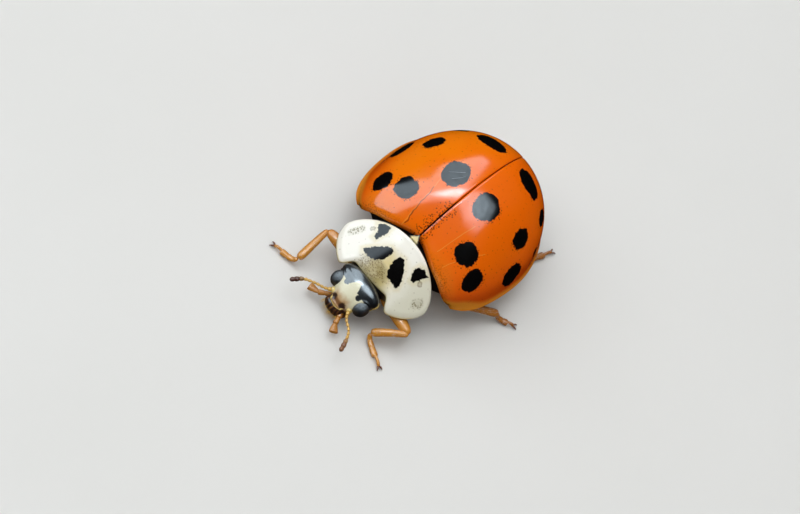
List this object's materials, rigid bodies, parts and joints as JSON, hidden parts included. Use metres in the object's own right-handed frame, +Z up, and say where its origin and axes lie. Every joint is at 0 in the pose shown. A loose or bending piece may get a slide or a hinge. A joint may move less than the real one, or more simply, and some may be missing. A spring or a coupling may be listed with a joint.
{
  "type": "ladybird",
  "caption": "Harlequin ladybird standing with its wing cases closed, orange with black spots and a white and black pronotum, as a still life-size model.",
  "frame": {"origin": "on the ground, below the middle of the box that holds the whole beetle with its legs and feelers", "axes": "+Z up from the ground, -Y the way the beetle faces, +X towards its left"},
  "size_m": [0.0063, 0.0088, 0.0035],
  "materials": {
    "wing_case": "glossy orange chitin with black spots",
    "pronotum_shell": "satin cream white chitin with black marks",
    "head_shell": "satin cream and black chitin",
    "eye": "black compound eye, glossy",
    "antenna": "satin yellow-brown chitin",
    "mouthparts": "glossy dark red-brown chitin",
    "leg": "satin amber chitin with fine hairs",
    "underside": "dark brown chitin with amber edges"
  },
  "bodies": {
    "root": {"elytron_left": "wing_case", "elytron_right": "wing_case", "scutellum": "pronotum_shell", "thorax": "underside", "abdomen": "underside", "pronotum": "pronotum_shell", "prothorax": "underside", "head": "head_shell", "eye_left": "eye", "eye_right": "eye", "mouthparts": "mouthparts", "antenna_left": "antenna", "palp_left": "antenna", "antenna_right": "antenna", "palp_right": "antenna", "front_right_femur": "leg", "front_right_tibia": "leg", "front_right_tarsus": "leg", "front_left_femur": "leg", "front_left_tibia": "leg", "front_left_tarsus": "leg", "middle_right_femur": "leg", "middle_right_tibia": "leg", "middle_right_tarsus": "leg", "middle_left_femur": "leg", "middle_left_tibia": "leg", "middle_left_tarsus": "leg", "hind_right_femur": "leg", "hind_right_tibia": "leg", "hind_right_tarsus": "leg", "hind_left_femur": "leg", "hind_left_tibia": "leg", "hind_left_tarsus": "leg"}
  },
  "joints": []
}
